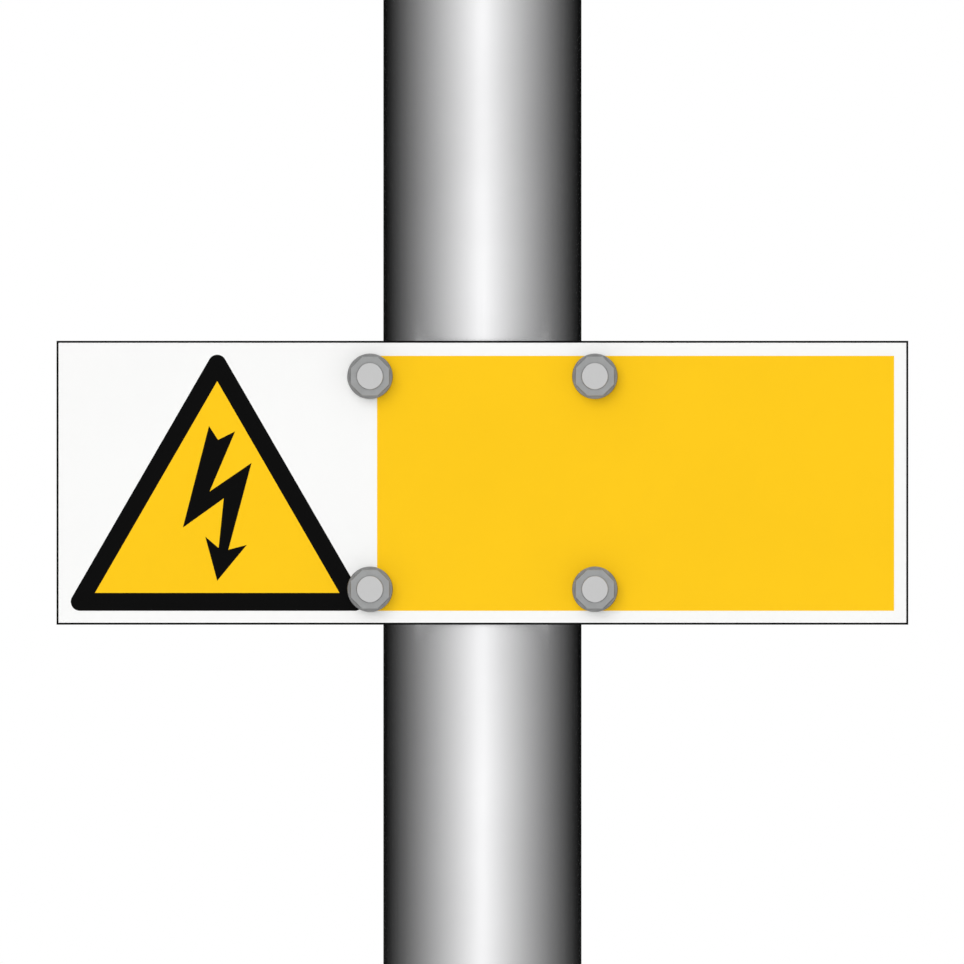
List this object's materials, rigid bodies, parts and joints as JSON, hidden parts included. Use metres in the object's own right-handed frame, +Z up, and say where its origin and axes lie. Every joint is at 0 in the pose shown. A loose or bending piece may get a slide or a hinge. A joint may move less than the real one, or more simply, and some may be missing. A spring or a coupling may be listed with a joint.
{
  "type": "post-mounted warning sign",
  "caption": "Wide composite warning sign clamped to a round steel post, which is welded to a bolt-down base plate.",
  "frame": {"origin": "middle of the base plate's underside, at ground level", "axes": "+Z up along the post, -Y the way the sign faces, +X to the right of someone reading the sign"},
  "size_m": [0.3, 0.18, 1.512],
  "materials": {
    "post_steel": "drawn round tube, bright zinc, satin",
    "foot_steel": "hot-dip zinc, matt grey",
    "cap_plastic": "moulded, fine grain",
    "sheet_white": "white coil coat, half gloss",
    "core_black": "black plastic core, sawn edge",
    "clamp_zinc": "pressed steel, bright zinc",
    "washer_steel": "plain washer, dull grey",
    "bolt_steel": "turned steel, grey",
    "nut_zinc": "bright zinc",
    "print_yellow": "printed film, half gloss",
    "print_black": "printed film, half gloss"
  },
  "bodies": {
    "root": {"post_tube": "post_steel", "post_cap": "cap_plastic", "base_plate": "foot_steel", "foot_weld": "foot_steel", "panel_front_sheet": "sheet_white", "panel_core": "core_black", "panel_back_sheet": "sheet_white", "stiffener_right": "foot_steel", "stiffener_back": "foot_steel", "stiffener_left": "foot_steel", "stiffener_front": "foot_steel", "saddle_upper": "clamp_zinc", "strap_upper": "clamp_zinc", "bolt_upper_left": "bolt_steel", "front_washer_upper_left": "washer_steel", "back_washer_upper_left": "nut_zinc", "nut_upper_left": "nut_zinc", "bolt_upper_right": "bolt_steel", "front_washer_upper_right": "washer_steel", "back_washer_upper_right": "nut_zinc", "nut_upper_right": "nut_zinc", "saddle_lower": "clamp_zinc", "strap_lower": "clamp_zinc", "bolt_lower_left": "bolt_steel", "front_washer_lower_left": "washer_steel", "back_washer_lower_left": "nut_zinc", "nut_lower_left": "nut_zinc", "bolt_lower_right": "bolt_steel", "front_washer_lower_right": "washer_steel", "back_washer_lower_right": "nut_zinc", "nut_lower_right": "nut_zinc"}
  },
  "joints": []
}
